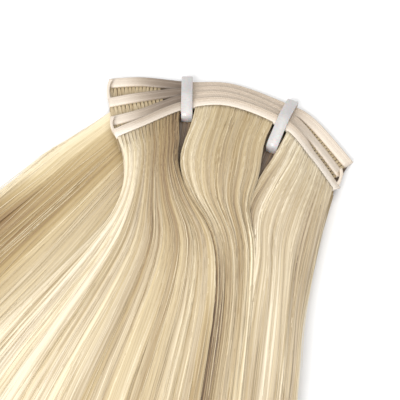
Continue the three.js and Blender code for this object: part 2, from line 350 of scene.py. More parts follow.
def finished_piece(name, mesh, finish, slot, *nodes):
    """Give a mesh its finish and its place in the part."""
    mesh.materials.append(finish)
    piece = bpy.data.objects.new(name, mesh)
    bpy.context.scene.collection.objects.link(piece)
    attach(piece, "root")
    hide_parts(*nodes)
    print(name, len(mesh.polygons), "faces")
    return piece


# %% [markdown]
# ## The band
# The hair is sewn between threads and dipped in a clear coat, which leaves a smooth pinkish beige
# band with a thick glossy rim where the hair comes out. A flat section with a rim, two sewn grooves
# and a rounded free edge is extruded step by step along each pass. Each point remembers how far along
# the band and how far across it lies, because the sewing follows the band round its curve.


# %% Extruding a section along a line
def new_strip():
    """An empty mesh whose points can hold their place on a strip."""
    bm = bmesh.new()
    for name in ("run", "across"):
        bm.verts.layers.float.new(name)
    return bm


def extrude_along(bm, section, places, run=0.0):
    """Extrude a flat section through a row of matrices; x of the section is across the strip."""
    run_layer = bm.verts.layers.float["run"]
    across_layer = bm.verts.layers.float["across"]
    cap = bm.faces.new([bm.verts.new(places[0] @ Vector((x, y, 0))) for x, y in section])
    for i, place in enumerate(places):
        if i > 0:
            made = bmesh.ops.extrude_face_region(bm, geom=[cap])["geom"]
            if i > 1:
                bm.faces.remove(cap)
            cap = next(g for g in made if isinstance(g, bmesh.types.BMFace))
            step = place @ places[i - 1].inverted()
            bmesh.ops.transform(bm, matrix=step, verts=cap.verts[:])
            run += (place.translation - places[i - 1].translation).length / MM
        for v in cap.verts:
            v[run_layer] = run
            v[across_layer] = (place.inverted() @ v.co).x
    return run


def stand(x_axis, y_axis, z_axis, point):
    """A matrix from a section's axes and its place, all in mm."""
    columns = [Vector(x_axis) * MM, Vector(y_axis) * MM, Vector(z_axis) * MM, Vector(point) * MM]
    return Matrix([[*(c[k] for c in columns)] for k in range(3)] + [[0, 0, 0, 1]])


def to_mesh(bm, name):
    bmesh.ops.recalc_face_normals(bm, faces=bm.faces[:])
    mesh = bpy.data.meshes.new(name)
    bm.to_mesh(mesh)
    bm.free()
    return mesh


# %% The folded band
# Section of the band, from the hair's rim at -2.75 to the free edge at 1.9
BAND_TOP = [(-2.75, -0.1), (-2.68, 0.3), (-2.4, 0.62), (-1.9, 0.76), (-1.3, 0.72), (-0.8, 0.6), (-0.1, 0.6),
            (0.05, 0.55), (0.2, 0.6), (0.95, 0.6), (1.15, 0.54), (1.35, 0.58), (1.75, 0.45), (1.9, 0.15)]
BAND_UNDER = [(1.9, -0.35), (1.7, -0.6), (-1.2, -0.6), (-1.6, -1.15), (-2.0, -1.35), (-2.4, -1.2),
              (-2.7, -0.7)]
# Section of a standing fold: across it in mm, and up it as a share of its height
FOLD_SECTION = [(-0.6, 0.04), (-0.45, 0), (0.45, 0), (0.6, 0.04), (0.6, 0.96), (0.45, 1), (-0.45, 1),
                (-0.6, 0.96)]
PASS_STEPS, FOLD_STEPS = 64, 15
# How far a fold swings out past its passes, reaches back along them, and stands above and below them
FOLD_BULGE, FOLD_OVERLAP, FOLD_RISE = 0.7, 1.5, 0.5
# How far each pass tips its free edge down at the right end, in radians, and the shares along it where
# that starts and is complete
TILTS = [0, 0.5, 0.55, 0.55]
TILT_SPAN = (0.68, 0.85)


def pass_places(number):
    """Where the band's section stands along one pass."""
    z = PASSES[number][0]
    points, heading, back, _ = pass_lines[number]
    picks = np.linspace(0, FINE - 1, PASS_STEPS).astype(int)
    tilt = TILTS[number] * ease(*TILT_SPAN, picks / FINE)
    places = []
    for i, (c, d) in zip(picks, np.stack([np.cos(tilt), np.sin(tilt)], axis=1)):
        shift = back[i] * RIM_EDGE * (1 - c)
        point = (*(points[i] + shift), z + RIM_EDGE * d)
        places.append(stand((*back[i] * c, -d), (*back[i] * d, c), (*heading[i], 0), point))
    return places


def fold_places(lower, end):
    """Where the standing fold runs from the end of one pass to the end of the next."""
    ends = []
    for number in (lower, lower + 1):
        points, heading, _, _ = pass_lines[number]
        outwards = -heading[0] if end == 0 else heading[-1]
        ends.append((points[end], outwards))
    (from_point, from_out), (to_point, to_out) = ends
    hull = np.array([from_point - from_out * FOLD_OVERLAP, from_point + from_out * FOLD_BULGE,
                     to_point + to_out * FOLD_BULGE, to_point - to_out * FOLD_OVERLAP])
    t = np.linspace(0, 1, FOLD_STEPS)[:, None]
    pulls = (1 - t) ** 3, 3 * t * (1 - t) ** 2, 3 * t * t * (1 - t), t ** 3
    path = sum(pull * corner for pull, corner in zip(pulls, hull))
    heading = np.gradient(path, axis=0)
    heading /= np.linalg.norm(heading, axis=1, keepdims=True)
    foot, head = PASSES[lower][0] - FOLD_RISE, PASSES[lower + 1][0] + FOLD_RISE
    return [stand((-h[1], h[0], 0), (0, 0, head - foot), (*h, 0), (*p, foot))
            for p, h in zip(path, heading)]


strip = new_strip()
band_run = 0.0
for number in range(len(PASSES)):
    band_run = extrude_along(strip, BAND_TOP + BAND_UNDER, pass_places(number), band_run)
    if number < TOP_PASS:
        band_run = extrude_along(strip, FOLD_SECTION, fold_places(number, -(number % 2)), band_run)
print("band and folds:", round(band_run), "mm")

# %% [markdown]
# ## The band's finish
# The coat over the threads is glossy but uneven: mottled and specked beige with a paler rim. Painted
# highlight makes the ends paler, where the coat would catch the light, and painted shade darkens the lower
# passes where they dip left of the left tie. All of it could be painted by hand. Here two noises and two
# ramps along the band give the colours, and waves along and across it raise the threads.

# %% Sewn and coated band finish
# How much painted shade darkens the lower passes, from the left end to the right end: most where they
# dip left of the left tie
BAND_SHADES = [(0.02, 0), (0.085, 0.1), (0.14, 0.36), (0.2, 0.72), (0.24, 0.88), (0.3, 0.97),
               (0.34, 0.6), (0.373, 0), (1, 0)]
# How much paler the band is at its ends: painted highlight where its clear coat would catch the light
BAND_HIGHLIGHTS = [(0, 0.6), (0.08, 0.42), (0.15, 0), (0.78, 0), (0.86, 0.4)]
# Where these ramps start and end along X, in m
BAND_ENDS = (-0.054, 0.052)
# Two beiges of the threads, then the colours of painted shade, of the pale rim and of the painted
# highlight at the ends, and of the specks
BEIGES = (0.50, 0.39, 0.29, 1), (0.72, 0.62, 0.50, 1)
SHADED, BRIGHT, SPECKED = (0.17, 0.125, 0.09, 1), (0.89, 0.80, 0.69, 1), (0.42, 0.30, 0.20, 1)


def greys(stops):
    """Stops of a colour ramp from (place, value) pairs."""
    return [(place, (value,) * 3) for place, value in stops]


def band_finish():
    wire, shader, material = new_finish("sewn_band")
    run, across = attribute(wire, "run"), attribute(wire, "across")
    place = wire.node("ShaderNodeCombineXYZ", None, {"X": run, "Y": across * 2.2})
    mottle = wire.node("ShaderNodeTexNoise", None, {"Vector": place, "Scale": 0.9, "Detail": 4.0})
    speck = wire.node("ShaderNodeTexNoise", None, {"Vector": place, "Scale": 3.4, "Detail": 2.0})
    rim_range = {"Value": across, "From Min": 0.5, "From Max": -1.1}
    rim = wire.node("ShaderNodeMapRange", {"interpolation_type": "SMOOTHSTEP"}, rim_range)
    uppermost = wire.maths("GREATER_THAN", run, band_run - pass_lines[TOP_PASS][3] - 1)
    spot = wire.node("ShaderNodeTexCoord", output="Object")
    sideways = wire.node("ShaderNodeSeparateXYZ", None, {"Vector": spot}, output="X")
    share_range = {"Value": sideways, "From Min": BAND_ENDS[0], "From Max": BAND_ENDS[1]}
    share = wire.node("ShaderNodeMapRange", None, share_range)
    shade = wire.node("ShaderNodeValToRGB", {"stops": greys(BAND_SHADES)}, {"Fac": share})
    painted_highlight = wire.node("ShaderNodeValToRGB", {"stops": greys(BAND_HIGHLIGHTS)}, {"Fac": share})
    beige = mix(wire, mottle, *BEIGES)
    # Painted shade darkens the lower passes left of the left tie, half as much on the topmost one
    beige = mix(wire, shade * (1 - 0.5 * uppermost), beige, SHADED)
    # The rim is pale coat, paler on the topmost pass and dimmer under the painted shade; painted highlight
    # adds to it at the ends
    colour = mix(wire, painted_highlight + rim * (0.2 + 0.5 * uppermost - 0.3 * shade), beige, BRIGHT)
    colour = mix(wire, (speck - 0.42) * 0.8, colour, SPECKED)
    feed(colour, shader, "Base Color")
    feed(0.28 + speck * 0.3, shader, "Roughness")
    thread = wire.maths("SINE", across * 9.5 + mottle * 3)
    twist = wire.maths("SINE", run * 6.5 + across * 4)
    relief = thread * (1 - rim) * 0.5 + twist * 0.35 * (1 - rim) + speck * 1.4 + mottle * 1.2
    bump = wire.node("ShaderNodeBump", None, {"Height": relief, "Strength": 0.5, "Distance": 0.0002})
    feed(bump, shader, "Normal")
    shader.inputs["Coat Weight"].default_value = 0.45
    shader.inputs["Coat Roughness"].default_value = 0.14
    return material


band_mesh = to_mesh(strip, "band")
band_mesh.shade_smooth()
finished_piece("band", band_mesh, band_finish(), "band", "weft_band")

# %% [markdown]
# ## The ties
# Two milky nylon cable ties hold the folded passes. A real one is a strap that leaves its lock head,
# goes round the bundle and comes back into the head. So the strap's rounded section is extruded along
# that route, and the head is a bevelled block with a slot.

# %% The ties
# The strap's section, 4.8 mm wide, and how far from a corner its bend starts
STRAP_SECTION = [(-2.4, -0.3), (-2.15, -0.58), (2.15, -0.58), (2.4, -0.3), (2.4, 0.3), (2.15, 0.58),
                 (-2.15, 0.58), (-2.4, 0.3)]
STRAP_CORNER = 2.8
# The lock head's width, length and height, then the wall round its slot, the slot's depth and the bevel
HEAD_SIZE = Vector((7.2, 7, 4)) * MM
SLOT_WALL, SLOT_DEPTH, HEAD_BEVEL = 1.1 * MM, 2 * MM, 0.5 * MM
# Where each tie stands in plan, how far it leans round the vertical and how far forward it reaches
TIES = {"tie_left": (-18.3, 0, 0.0, -8.2), "tie_right": (21.7, -10.8, -0.38, -12.6)}
# Two greys of the cloudy nylon
MILKY = (0.50, 0.475, 0.465, 1), (0.66, 0.635, 0.62, 1)


def strap_route(front):
    """How far back and how high the strap's middle line goes, from its head round to its head."""
    return [(front - 3, 0.6), (15, 0.6), (15, 3.56), (2.76, 10.5), (front, 10.5), (front, 1.5)]


def rounded(route, reach, steps=6):
    """A line of points whose corners are rounded."""
    route = np.array(route, float)
    points = [route[0]]
    for before, corner, after in zip(route, route[1:], route[2:]):
        near = min(reach, 0.45 * np.linalg.norm(corner - before), 0.45 * np.linalg.norm(after - corner))
        enter = corner + (before - corner) * near / np.linalg.norm(before - corner)
        leave = corner + (after - corner) * near / np.linalg.norm(after - corner)
        for t in np.linspace(0, 1, steps):
            points.append(enter * (1 - t) ** 2 + corner * 2 * t * (1 - t) + leave * t * t)
    points.append(route[-1])
    return np.array(points)


def tie_mesh(name, x, y, lean, front):
    bm = new_strip()
    path = rounded(strap_route(front), STRAP_CORNER)
    ahead = np.gradient(path, axis=0)
    ahead /= np.linalg.norm(ahead, axis=1, keepdims=True)
    places = [stand((1, 0, 0), (0, rise, -go), (0, go, rise), (0, *point))
              for point, (go, rise) in zip(path, ahead)]
    extrude_along(bm, STRAP_SECTION, places)
    block = bmesh.ops.create_cube(bm, size=1)["verts"]
    middle = Vector((0, front * MM - HEAD_SIZE.y / 2, HEAD_SIZE.z / 2))
    bmesh.ops.transform(bm, matrix=Matrix.LocRotScale(middle, None, HEAD_SIZE), verts=block)
    faces = [f for v in block for f in v.link_faces]
    face = min(faces, key=lambda f: f.calc_center_median().y)
    bmesh.ops.inset_region(bm, faces=[face], thickness=SLOT_WALL, depth=0)
    slot = bmesh.ops.extrude_face_region(bm, geom=[face])["geom"]
    bm.faces.remove(face)
    floor = [g for g in slot if isinstance(g, bmesh.types.BMVert)]
    bmesh.ops.translate(bm, verts=floor, vec=(0, SLOT_DEPTH, 0))
    edges = list(dict.fromkeys(e for v in block for e in v.link_edges))
    bmesh.ops.bevel(bm, geom=edges, offset=HEAD_BEVEL, segments=2, profile=0.5, affect="EDGES", material=-1)
    turned = Matrix.Translation(Vector((x, y, 0)) * MM) @ Matrix.Rotation(lean, 4, "Z")
    bmesh.ops.transform(bm, matrix=turned, verts=bm.verts[:])
    return to_mesh(bm, name)


def nylon_finish():
    wire, shader, material = new_finish("milky_nylon")
    run, across = attribute(wire, "run"), attribute(wire, "across")
    place = wire.node("ShaderNodeCombineXYZ", None, {"X": run * 2.5, "Y": across * 0.7})
    cloud = wire.node("ShaderNodeTexNoise", None, {"Vector": place, "Scale": 0.8, "Detail": 3.0})
    feed(mix(wire, cloud, *MILKY), shader, "Base Color")
    feed(0.22 + cloud * 0.2, shader, "Roughness")
    ribs = wire.maths("SINE", run * 7.5) * 0.5 + cloud * 2
    bump = wire.node("ShaderNodeBump", None, {"Height": ribs, "Strength": 0.25, "Distance": 0.0001})
    feed(bump, shader, "Normal")
    shader.inputs["Subsurface Weight"].default_value = 0.25
    shader.inputs["Subsurface Scale"].default_value = 0.001
    shader.inputs["Coat Weight"].default_value = 0.2
    return material


nylon = nylon_finish()
for name, stance in TIES.items():
    mesh = tie_mesh(name + "_strap", *stance)
    mesh.shade_smooth()
    finished_piece(name + "_strap", mesh, nylon, "nylon", name)

# %% [markdown]
# ## Blonde hair
# Blonde hair is never one colour: pale, champagne, honey and ash hairs lie side by side. Each strand
# carries a tone and a warmth, worked out with the strand; the tone also holds painted shade, darker where
# the hair is deep, and painted highlight. A ramp of ash colours and a ramp of golden ones turn the tone
# into hair, and the warmth picks between them. A fine grain along the strand breaks up the gloss.

# %% Hair finishes
# From the deepest to the palest tone
ASH = [(0.0, (0.07, 0.041, 0.022)), (0.25, (0.225, 0.156, 0.088)), (0.5, (0.375, 0.29, 0.186)),
       (0.75, (0.54, 0.45, 0.318)), (1.0, (0.82, 0.73, 0.57))]
GOLD = [(0.0, (0.085, 0.043, 0.017)), (0.25, (0.255, 0.159, 0.069)), (0.5, (0.42, 0.304, 0.142)),
        (0.75, (0.585, 0.466, 0.265)), (1.0, (0.86, 0.745, 0.51))]


def hair_finish(name, uv_map, stretch, contrast):
    """A finish whose grain is a noise, stretched along the strips of a UV map."""
    wire, shader, material = new_finish(name)
    strip = wire.node("ShaderNodeUVMap", {"uv_map": uv_map})
    place = wire.node("ShaderNodeMapping", None, {"Vector": strip, "Scale": stretch})
    grain = wire.node("ShaderNodeTexNoise", None, {"Vector": place, "Scale": 1.0, "Detail": 2.0})
    shade = attribute(wire, "tone") + (grain - 0.5) * contrast
    ash = wire.node("ShaderNodeValToRGB", {"stops": ASH}, {"Fac": shade})
    gold = wire.node("ShaderNodeValToRGB", {"stops": GOLD}, {"Fac": shade})
    feed(mix(wire, attribute(wire, "warmth"), ash, gold), shader, "Base Color")
    feed(0.30 + grain * 0.2, shader, "Roughness")
    shader.inputs["Specular IOR Level"].default_value = 0.55
    return material


strand_finish = hair_finish("blonde_strands", "OFBake", (110, 112, 1), 0.12)
depth_finish = hair_finish("blonde_depth", "flow", (500, 4, 1), 0.2)
print("finishes:", strand_finish.name, depth_finish.name)

# %% [markdown]
# ## Strands
# A strand is a slim three-sided prism that follows a line of points: enough to catch a streak of
# light along its ridge, and light enough to have thousands. Making each with its own mesh tools would
# take minutes, so all strands of a piece are laid out as arrays and become one mesh. Each strand has
# its own narrow strip of the piece's UV map.

# %% Strands from lines of points
# Height of a strand's ridge, as a share of its width
RIDGE = 0.15
# The strips of the UV map lie in rows, so that each has a few pixels of its own when colours are baked
STRIPS_A_ROW, STRIP_ROWS = 220, 8


def strand_piece(name, lines, widths, tones, warmths, *nodes):
    """One object of many closed strands: lines (n, k, 3) in mm; widths, tones and warmths (n, k)."""
    n, k, _ = lines.shape
    along = np.gradient(lines, axis=1)
    along /= np.linalg.norm(along, axis=2, keepdims=True)
    side = np.cross(along, [0, 0, 1.0])
    side /= np.linalg.norm(side, axis=2, keepdims=True)
    up = np.cross(side, along)
    half = widths[..., None] / 2
    corners = np.stack([lines - side * half, lines + side * half, lines + up * 2 * half * RIDGE], axis=2)
    ring = np.arange(n * k * 3).reshape(n, k, 3)
    turned = np.roll(ring, -1, axis=2)
    sides = np.stack([ring[:, :-1], ring[:, 1:], turned[:, 1:], turned[:, :-1]], axis=-1)
    ends = np.concatenate([ring[:, 0], ring[:, -1, ::-1]])
    loops = np.concatenate([sides.ravel(), ends.ravel()])
    starts = np.concatenate([np.arange(sides.size // 4) * 4, sides.size + np.arange(len(ends)) * 3])
    mesh = bpy.data.meshes.new(name)
    mesh.vertices.add(n * k * 3)
    mesh.vertices.foreach_set("co", (corners * MM).astype(np.float32).ravel())
    mesh.loops.add(len(loops))
    mesh.loops.foreach_set("vertex_index", loops.astype(np.int32))
    mesh.polygons.add(len(starts))
    mesh.polygons.foreach_set("loop_start", starts.astype(np.int32))
    mesh.update(calc_edges=True)
    mesh.shade_smooth()
    # Light runs smoothly over the ridge, but the outer edges are sharp, or the underside would darken them
    pairs = np.zeros(2 * len(mesh.edges), np.int32)
    mesh.edges.foreach_get("vertices", pairs)
    corner = pairs.reshape(-1, 2) % 3
    outer = (corner[:, 0] == corner[:, 1]) & (corner[:, 0] < 2)
    mesh.attributes.new("sharp_edge", "BOOLEAN", "EDGE").data.foreach_set("value", outer)
    for kind, values in (("tone", tones), ("warmth", warmths)):
        layer = mesh.attributes.new(kind, "FLOAT", "POINT")
        spread = np.repeat(np.broadcast_to(values, (n, k)), 3, axis=1)
        layer.data.foreach_set("value", spread.astype(np.float32).ravel())
    row, column = np.divmod(np.arange(n)[:, None, None], STRIPS_A_ROW)
    across = (column + np.array([0.2, 0.8, 0.5])) / STRIPS_A_ROW
    down = (row + np.linspace(0.02, 0.98, k)[:, None]) / STRIP_ROWS
    strip = np.stack(np.broadcast_arrays(across, down), axis=-1)
    mesh.uv_layers.new(name="OFBake").data.foreach_set("uv", strip.reshape(-1, 2)[loops].ravel())
    return finished_piece(name, mesh, strand_finish, "hair", *nodes)


# %% [markdown]
# ## Wisps
# Combed hair gathers into broad and thin wisps: rounded ridges with narrow dark valleys between them
# that drift as they run down. They could be drawn one by one, but a few rows of ripples, added up and
# slightly bent, give the same ridges for the strands and for the body of hair below them.

# %% Ridges and valleys
# Wisps across the hair, their height in mm, how much painted shade darkens their valleys, and how much
# their tone swings
WISPS = [(4, 0.5, 0.02, 0.04), (7, 0.6, 0.06, 0.05), (17, 0.3, 0.05, 0.055), (43, 0.12, 0.02, 0.06)]


def wisp_relief(seed, place, contrast=1.0):
    """A function that gives the hair's surface with its wisps, their tone streaks and painted valley shade.
    """
    draw = np.random.default_rng(seed)
    rows = [(*wisp, *draw.random(3)) for wisp in WISPS]
    turn = 2 * np.pi * draw.random(3)

    def surface(u, along):
        plan, under, top, width = place(u, along)
        # Bent shares across, so that the wisps are not evenly spaced
        bent = u + 0.03 * np.sin(6 * u + turn[0]) + 0.012 * np.sin(19 * u + turn[1] + along / 80)
        opened = ease(4, 45, along)
        fall, tone = 0, 0
        for wisps, height, shade, swing, start, drift, odd in rows:
            phase = np.pi * (wisps * bent + start + (drift - 0.5) * along / 90)
            crest = np.abs(np.sin(phase)) ** 1.5
            # Wisps too narrow to tell apart fade out
            shows = ease(0.3, 1.3, width / wisps)
            fall = fall + shows * height * (1 - crest)
            streak = swing * np.sin(1.37 * phase + 6.3 * odd + along / 60)
            tone = tone + shows * (streak - shade * (1 - crest) ** 2)
        depth = np.clip((top - under) / 5, 0, 1)
        return plan, under, top - fall * opened * depth, tone * opened * contrast, width

    return surface


# %% [markdown]
# ## Combing the hair
# Hair leaves the band in small tufts, one for each stitch. Over the next centimetre the tufts open
# and the strands follow the wisps, each swaying a little on its own. Each strand is given a tuft, a
# level and a length of its own, all from a seeded generator, so each run gives the same hair.

# %% Combing strands
# Where a strand's points lie, in mm from the band: closest where the locks bend
STATIONS = [0, 2, 5, 9, 14, 19, 24, 29, 34, 39, 44, 50, 57, 65, 75, 88, 105, 135, 185, 250]


def stations(draw, count):
    """Shares of a strand's length where its points lie, not all in step."""
    steps = np.tile(np.arange(len(STATIONS), dtype=float), (count, 1))
    steps[:, 1:-1] += (draw.random(count) - 0.5)[:, None]
    return np.interp(steps, np.arange(len(STATIONS)), STATIONS) / HAIR_LENGTH


def sway(draw, groups, size, along):
    """A slow sideways swing, in mm, shared by the strands of a group."""
    number = groups.max() + 1
    swing = size * draw.standard_normal(number)
    wave = 18 + 20 * draw.random(number)
    start = 6.3 * draw.random(number)
    return swing[groups, None] * np.sin(along / wave[groups, None] + start[groups, None])


def table_of(tones, u, along):
    """Read a small table of tones: rows of (along, tones at even steps across)."""
    rows = np.array([row[0] for row in tones], float)
    values = np.array([row[1] for row in tones], float)
    at = np.interp(along, rows, np.arange(len(rows)))
    low = np.minimum(at.astype(int), len(rows) - 2)
    column = np.clip(u, 0, 1) * (values.shape[1] - 1)
    left = np.minimum(column.astype(int), values.shape[1] - 2)
    f, g = at - low, column - left
    near = values[low, left] * (1 - g) + values[low, left + 1] * g
    far = values[low + 1, left] * (1 - g) + values[low + 1, left + 1] * g
    return near * (1 - f) + far * f


# %% One combed piece
STRAND_WIDTH = 0.42
# Neighbouring strands sway and change tone in groups: how many in each unit across, and how many in all
GROUPS, ALL_GROUPS = 40, 200
GROUP_SWAY, OWN_SWAY = 0.6, 0.4
# How much shorter a strand may be, how deep it sinks into the surface, and how far it may lift off again
SHORTER, SUNK, LIFTED = 0.15, 0.12, 0.22
# How much tones differ from strand to strand, with their lift, as painted shade on lower strands, and
# from group to group
OWN_TONE, LIFT_TONE, GROUP_TONE = 0.07, 0.03, 0.05
# A few strands are much darker or paler than the rest; the pale ones also stand in for glints as
# painted highlight
ODD_TONES, ODD_CHANCES = (-0.08, 0, 0.1), (0.05, 0.87, 0.08)
WARMTH_SPREAD = 0.12
# The outermost share of the strands hangs down the open sides of the hair
SIDE_SHARE = 0.03
# Strands paler than this would look burnt out
PALEST = 0.97
# The lowest that a strand lies above the table, in mm
LOWEST = 0.3


def comb(name, surface, u, draw, tone_at, warmths, tufts=0, gathered=1.0, sides=(1, 1), calm=1.0):
    """Strands that start at shares u across the hair and follow its surface, as one piece."""
    count, last = len(u), np.ceil(u.max())
    reach = stations(draw, count)
    along = (HAIR_LENGTH * (1 - SHORTER * draw.random(count) ** 2))[:, None] * reach
    group = (u * GROUPS).astype(int)
    swing = sway(draw, group, GROUP_SWAY, along) + sway(draw, np.arange(count), OWN_SWAY, along)
    width = surface(np.broadcast_to(u[:, None], along.shape), along)[4]
    spread = u[:, None] + swing * ease(6, 50, along) / width
    if tufts:
        tuft = (np.floor(u * tufts) + 0.5 + gathered * (draw.random(count) - 0.5)) / tufts
        spread = spread + (tuft[:, None] - spread) * (1 - ease(3, 13, along))
    spread = np.clip(spread, 0, last)
    plan, under, top, valley, _ = surface(spread, along)
    lift = draw.random(count)
    down_left = sides[0] * (1 - np.clip(u / SIDE_SHARE, 0, 1))
    down_right = sides[1] * (1 - np.clip((last - u) / SIDE_SHARE, 0, 1))
    z = top - (top - under) * (down_left + down_right)[:, None] - SUNK + LIFTED * lift[:, None]
    lines = np.concatenate([plan, np.maximum(z, LOWEST)[..., None]], axis=2)
    # Random tone per strand, painted shade on lower strands and painted highlight on a few pale ones
    strand_and_painted_tone = OWN_TONE * draw.standard_normal(count) + LIFT_TONE * (lift - 0.5)
    strand_and_painted_tone = strand_and_painted_tone + GROUP_TONE * draw.standard_normal(ALL_GROUPS)[group]
    strand_and_painted_tone = strand_and_painted_tone + draw.choice(ODD_TONES, count, p=ODD_CHANCES)
    tone = np.minimum(tone_at(spread, along) + valley + calm * strand_and_painted_tone[:, None], PALEST)
    warm = np.interp(u, np.linspace(0, 1, len(warmths)), warmths)
    warm = warm + WARMTH_SPREAD * draw.standard_normal(ALL_GROUPS)[group]
    warm = warm + WARMTH_SPREAD * draw.standard_normal(count)
    widths = STRAND_WIDTH * (0.7 + 0.6 * draw.random(count))[:, None] * (1 - 0.6 * ease(0.72, 1, reach))
    return strand_piece(name + "_strands", lines, widths, tone, np.clip(warm, 0, 1)[:, None], name)


# %% [markdown]
# ## The body of the hair
# Under the strands lies the rest of the hair, too deep to see as single hairs. A grid laid on the same
# ridges, a little lower, and extruded down gives each lock a closed body, so gaps between strands look
# into hair and not through to the table.


# %% Bodies under the strands
# Steps along a body, how far it lies below the strands, and how far its foot reaches below the lock
BODY_STEPS, BODY_DEPTH, BODY_FOOT = 50, 0.28, 0.8


def hair_body(name, across, steps, lay, *nodes):
    """A closed body; lay gives its plan, foot, top, tone and warmth at shares across and along."""
    bm = bmesh.new()
    bm.loops.layers.uv.new("flow")
    layers = {kind: bm.verts.layers.float.new(kind) for kind in ("foot", "tone", "warmth")}
    bmesh.ops.create_grid(bm, x_segments=across, y_segments=steps, size=0.5, calc_uvs=True)
    spots = np.array([(v.co.x + 0.5, 0.5 - v.co.y) for v in bm.verts])
    laid = lay(spots[:, 0], spots[:, 1])
    for v, p, low, high, shade, warm in zip(bm.verts, *laid):
        v.co = Vector((p[0], p[1], high)) * MM
        v[layers["foot"]] = low * MM
        v[layers["tone"]] = shade
        v[layers["warmth"]] = warm
    made = bmesh.ops.extrude_face_region(bm, geom=bm.faces[:])["geom"]
    for g in made:
        if isinstance(g, bmesh.types.BMVert):
            g.co.z = g[layers["foot"]]
    mesh = to_mesh(bm, name)
    mesh.shade_smooth()
    return finished_piece(name, mesh, depth_finish, "hair", *nodes)


def body_below(surface, tone_at, warmths, first, last):
    """The body below a combed surface, from its first to its last share across."""
    def lay(u, far):
        # Closer steps near the band, and an end short of the strands' tips
        along = 0.5 + HAIR_LENGTH * 0.9 * far ** 1.3
        across = first + (last - first) * u
        plan, under, top, valley, _ = surface(across, along)
        foot = np.maximum(under - BODY_FOOT, 0.1)
        # Thinner towards the tips
        high = top - BODY_DEPTH - 0.6 * (top - under) * ease(140, 225, along)
        # Painted shade: the deeper body is a little darker than the strands, and darker still in the valleys
        tone = tone_at(across, along) + valley * 1.1 - 0.02
        warm = np.interp(across, np.linspace(0, 1, len(warmths)), warmths)
        return plan, foot, np.maximum(high, foot + 0.1), tone, warm
    return lay


# %% [markdown]
# ## The upper locks
# Three locks of the topmost pass lie over everything else: a broad one on the left, one between the
# ties that bends in an S, and one on the right. Light slides along their bends, so each has a small
# table of tones at a few places across it and along it. They were typed, then corrected from render to
# render until the mean brightness of each region came close to that of the real hair.

# %% The upper locks
# Strands, seed, warmth at the left and right, how open the root tufts are, and tones across the lock at
# lengths along it: the hair's own streaks together with painted highlight and painted shade
LOCK_HAIR = {
    "hair_left": (1700, 11, (0.35, 0.6), 0.55, [
        (0, (0.76, 0.64, 0.5, 0.34, 0.18)),
        (20, (0.92, 0.78, 0.48, 0.3, 0.16)),
        (45, (0.88, 0.87, 0.57, 0.47, 0.46)),
        (80, (0.68, 0.86, 0.7, 0.62, 0.72)),
        (115, (0.78, 0.96, 0.84, 0.62, 0.72)),
        (250, (0.84, 0.96, 0.88, 0.76, 0.74)),
    ]),
    "hair_middle": (1000, 12, (0.5, 0.55), 0.9, [
        (0, (0.68, 0.6, 0.54, 0.57, 0.58)),
        (20, (0.74, 0.64, 0.5, 0.57, 0.5)),
        (45, (0.7, 0.64, 0.53, 0.54, 0.56)),
        (62, (0.42, 0.53, 0.52, 0.6, 0.72)),
        (80, (0.1, 0.34, 0.52, 0.61, 0.76)),
        (105, (0.0, 0.34, 0.58, 0.7, 0.76)),
        (140, (0.02, 0.4, 0.61, 0.71, 0.74)),
        (250, (0.3, 0.6, 0.68, 0.7, 0.7)),
    ]),
    "hair_right": (1100, 13, (0.3, 0.25), 0.7, [
        (0, (0.76, 0.8, 0.8, 0.78, 0.72)),
        (20, (0.5, 0.72, 0.68, 0.64, 0.62)),
        (50, (0.34, 0.8, 0.78, 0.66, 0.58)),
        (80, (0.62, 0.79, 0.83, 0.8, 0.66)),
        (120, (0.54, 0.6, 0.7, 0.72, 0.62)),
        (250, (0.56, 0.62, 0.68, 0.66, 0.6)),
    ]),
}


def lock_tone(name, u, along):
    """Tones of a lock; the left one ends in a pale wisp and painted shade in the groove of its parting."""
    tone = table_of(LOCK_HAIR[name][4], u, along)
    if name == "hair_left":
        shown = ease(75, 105, along) * (1 - 0.6 * ease(125, 165, along))
        tone = tone + shown * (0.12 * ease(0.84, 0.9, u) - 0.36 * ease(0.92, 0.97, u))
    return tone


# From one root tuft to the next, in mm
TUFT_PITCH = 1.65
BODY_COLUMNS = {"hair_left": 260, "hair_middle": 180, "hair_right": 180}
# Where a body starts next to a parting, as a share across the lock
PARTING_SHARE = 0.01
for name, (count, seed, warmths, gathered, _) in LOCK_HAIR.items():
    lock = LOCKS[name]
    surface = wisp_relief(seed, partial(lock_place, lock))
    tone_at = partial(lock_tone, name)
    draw = np.random.default_rng(seed)
    tufts = round(pass_lines[TOP_PASS][3] * (lock["root"][1] - lock["root"][0]) / TUFT_PITCH)
    u = np.sort(draw.random(count))
    comb(name, surface, u, draw, tone_at, warmths, tufts, gathered, lock["sides"])
    first, last = (SIDE_SHARE if side else PARTING_SHARE for side in lock["sides"])
    lay = body_below(surface, tone_at, warmths, first, 1 - last)
    hair_body(name + "_body", BODY_COLUMNS[name], BODY_STEPS, lay, name)

# %% [markdown]
# ## The lower fan
# The hair of the lower passes lies on the table. Its left part shows as a golden fan of nearly straight
# hair, and the rest only fills the space below the locks and shows at the tips and the right side.

# %% The fan
# Tones at lengths along the fan, across the part of it that shows: the hair's own streaks, with painted
# highlight and painted shade
FAN_TONES = [
    (0, (0.86, 0.82, 0.68, 0.6, 0.54, 0.5, 0.48, 0.48, 0.46)),
    (10, (0.97, 0.95, 0.74, 0.57, 0.52, 0.5, 0.5, 0.52, 0.52)),
    (40, (0.97, 0.92, 0.5, 0.44, 0.46, 0.48, 0.7, 0.68, 0.64)),
    (70, (0.76, 0.32, 0.18, 0.35, 0.41, 0.46, 0.76, 0.74, 0.72)),
    (120, (0.5, 0.15, 0.2, 0.4, 0.45, 0.38, 0.54, 0.86, 0.94)),
    (250, (0.74, 0.5, 0.48, 0.52, 0.54, 0.56, 0.68, 0.78, 0.76)),
]


